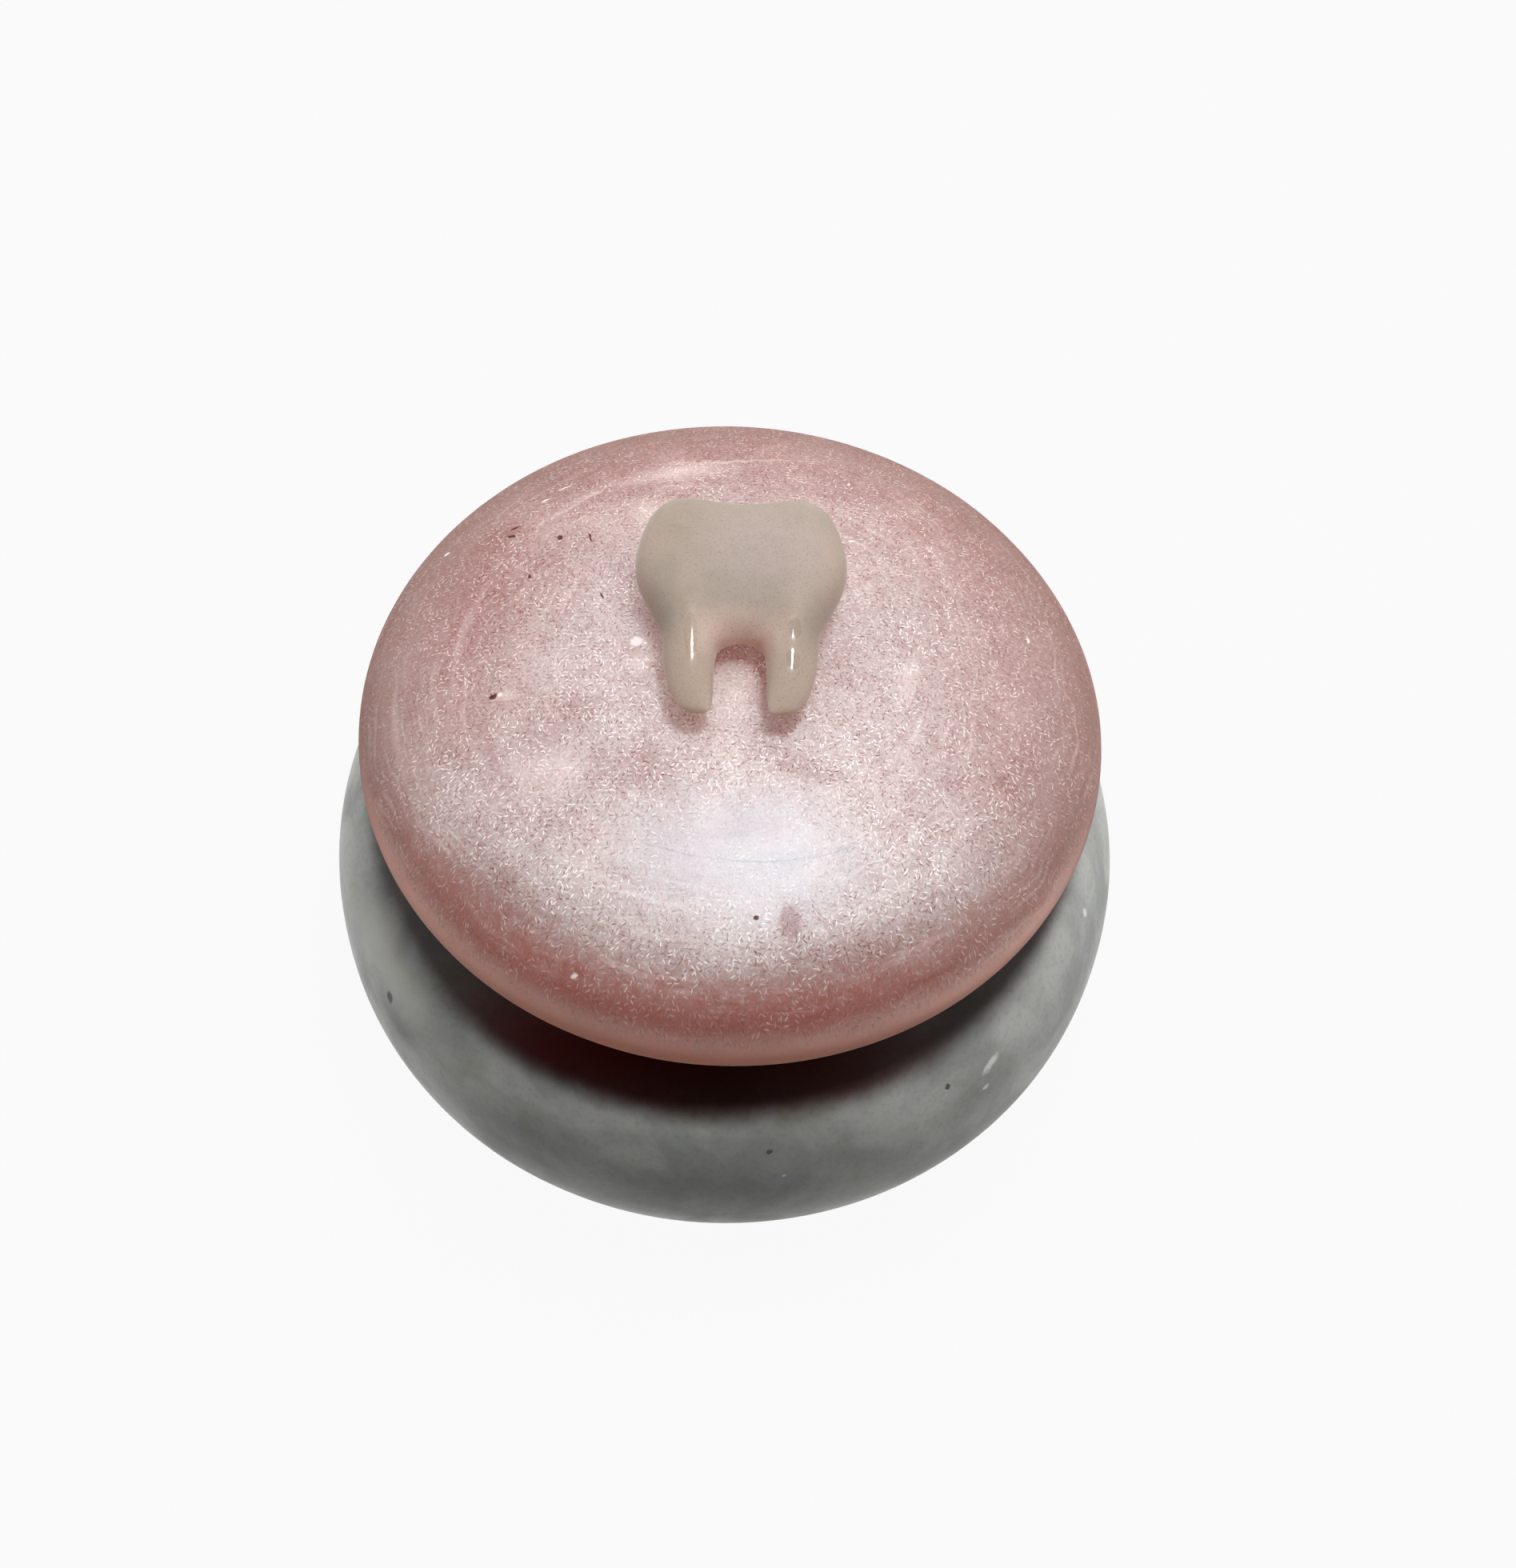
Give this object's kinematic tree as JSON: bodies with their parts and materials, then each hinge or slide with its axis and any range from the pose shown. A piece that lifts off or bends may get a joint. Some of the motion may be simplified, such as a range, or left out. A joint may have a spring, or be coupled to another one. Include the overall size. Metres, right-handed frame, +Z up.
{
  "type": "tooth fairy jar",
  "caption": "Squat round cast resin keepsake pot with a domed lift-off lid that carries a moulded molar charm",
  "frame": {"origin": "middle of the foot, on the surface that the pot stands on", "axes": "+Z up along the axis of the pot and the lid, -Y towards the front, where the roots of the tooth point, +X to the right"},
  "size_m": [0.0736, 0.0736, 0.0556],
  "materials": {
    "grey_resin": "glossy cast resin, mid grey with faint mottling and pinholes",
    "pink_pearl_resin": "satin cast resin full of pearl mica flakes, dusty pink",
    "cream_resin": "slightly translucent cast resin, greyish cream, satin crown and glossy roots",
    "clear_adhesive": "clear cured adhesive"
  },
  "bodies": {
    "pot": {"pot": "grey_resin"},
    "lid": {"lid": "pink_pearl_resin", "tooth": "cream_resin", "tooth_adhesive": "clear_adhesive"}
  },
  "joints": [
    {"name": "lid_lift", "type": "slide", "parent": "pot", "child": "lid", "axis": [0, 0, 1], "range_m": [0, 0.06]}
  ]
}
